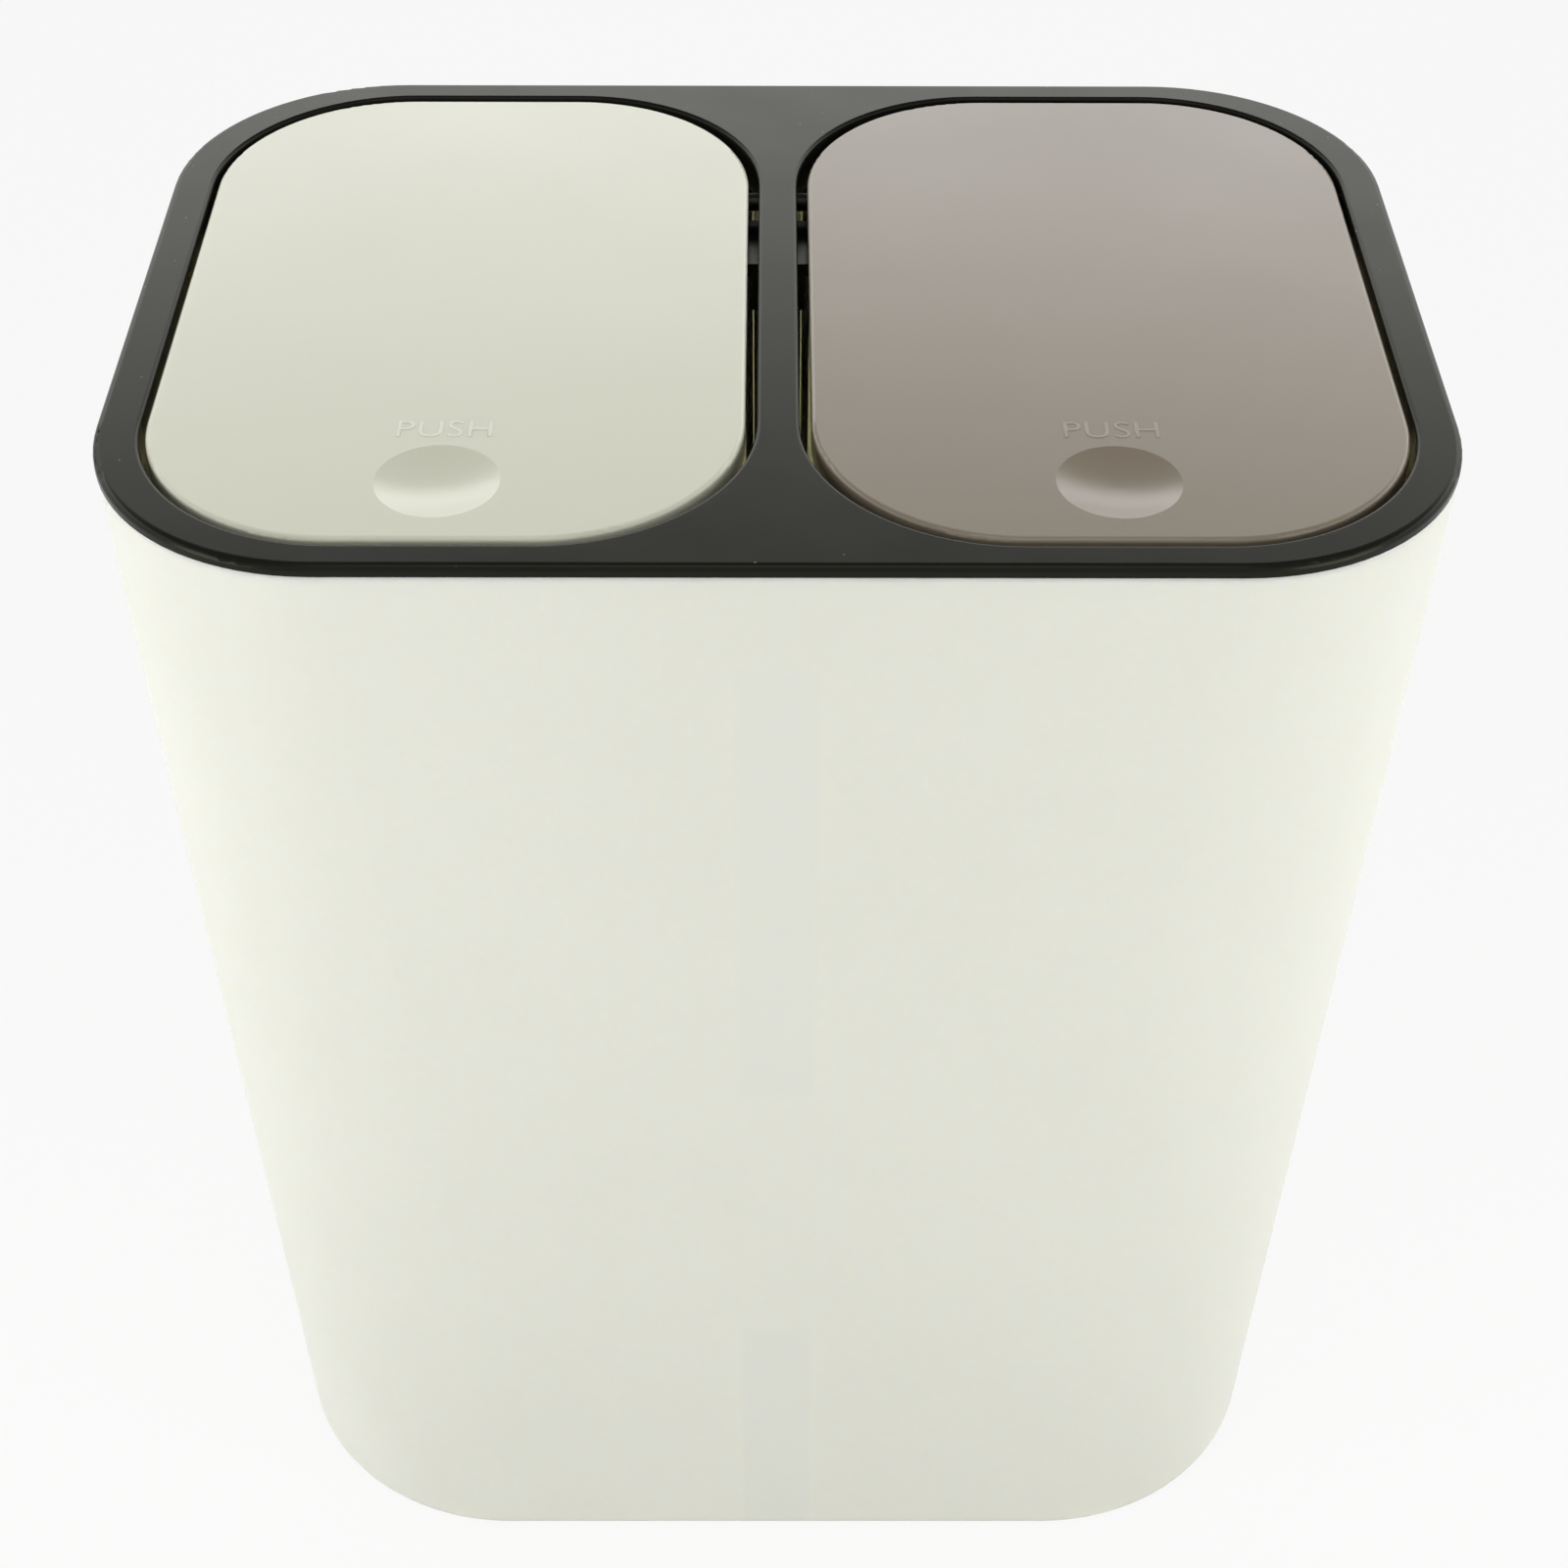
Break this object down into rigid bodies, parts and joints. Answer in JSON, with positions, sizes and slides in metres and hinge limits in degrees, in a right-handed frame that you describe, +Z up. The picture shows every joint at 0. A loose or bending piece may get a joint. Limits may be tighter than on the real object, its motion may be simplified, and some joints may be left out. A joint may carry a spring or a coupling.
{
  "type": "recycling bin",
  "caption": "Tapered recycling bin with a black top frame, side-by-side push-open lids and a divided inside.",
  "frame": {"origin": "centre of the base, on the floor", "axes": "+Z up, -Y towards the front where the lids are pressed, +X to the right"},
  "size_m": [0.265, 0.19, 0.306],
  "materials": {
    "cream_shell": "satin moulded polypropylene",
    "black_frame": "satin moulded polypropylene",
    "cream_lid": "fine matt moulded polypropylene",
    "taupe_lid": "fine matt moulded polypropylene",
    "black_steel": "blackened",
    "spring_steel": "drawn wire",
    "zinc_steel": "zinc plated",
    "latch_case": "moulded acetal",
    "latch_plunger": "moulded acetal"
  },
  "bodies": {
    "shell": {"outer_shell": "cream_shell", "divider_panel": "cream_shell"},
    "frame": {"top_frame": "black_frame", "latch_screws": "zinc_steel", "left_latch_body": "latch_case", "left_latch_cover": "latch_case", "left_latch_spring": "spring_steel", "left_cam_wire": "spring_steel", "right_latch_body": "latch_case", "right_latch_cover": "latch_case", "right_latch_spring": "spring_steel", "right_cam_wire": "spring_steel"},
    "left_hinge": {"left_hinge_rod": "black_steel", "left_torsion_spring": "spring_steel"},
    "left_lid": {"left_lid": "cream_lid"},
    "left_plunger": {"left_latch_plunger": "latch_plunger"},
    "right_hinge": {"right_hinge_rod": "black_steel", "right_torsion_spring": "spring_steel"},
    "right_lid": {"right_lid": "taupe_lid"},
    "right_plunger": {"right_latch_plunger": "latch_plunger"}
  },
  "joints": [
    {"name": "frame_lift", "type": "slide", "parent": "shell", "child": "frame", "axis": [0, 0, 1], "range_m": [0, 0.08]},
    {"name": "left_lid_press", "type": "hinge", "parent": "frame", "child": "left_hinge", "pos_m": [-0.06455, 0.051, 0.2995], "axis": [-1, 0, 0], "range_deg": [-1.4, 0], "stiffness_Nm_per_rad": 0.8, "springref_deg": 20.05},
    {"name": "left_lid_swing", "type": "hinge", "parent": "left_hinge", "child": "left_lid", "pos_m": [-0.06455, 0.051, 0.2995], "axis": [-1, 0, 0], "range_deg": [0, 85], "deforming": ["left_torsion_spring"]},
    {"name": "left_latch_slide", "type": "slide", "parent": "frame", "child": "left_plunger", "axis": [0, 0, 1], "range_m": [-0.0031, 0], "deforming": ["left_latch_spring"]},
    {"name": "right_lid_press", "type": "hinge", "parent": "frame", "child": "right_hinge", "pos_m": [0.06455, 0.051, 0.2995], "axis": [-1, 0, 0], "range_deg": [-1.4, 0], "stiffness_Nm_per_rad": 0.8, "springref_deg": 20.05},
    {"name": "right_lid_swing", "type": "hinge", "parent": "right_hinge", "child": "right_lid", "pos_m": [0.06455, 0.051, 0.2995], "axis": [-1, 0, 0], "range_deg": [0, 85], "deforming": ["right_torsion_spring"]},
    {"name": "right_latch_slide", "type": "slide", "parent": "frame", "child": "right_plunger", "axis": [0, 0, 1], "range_m": [-0.0031, 0], "deforming": ["right_latch_spring"]}
  ],
  "couplings": [
    {"joint": "left_latch_slide", "follows": "left_lid_press", "m_per_rad": 0.125},
    {"joint": "right_latch_slide", "follows": "right_lid_press", "m_per_rad": 0.125}
  ]
}
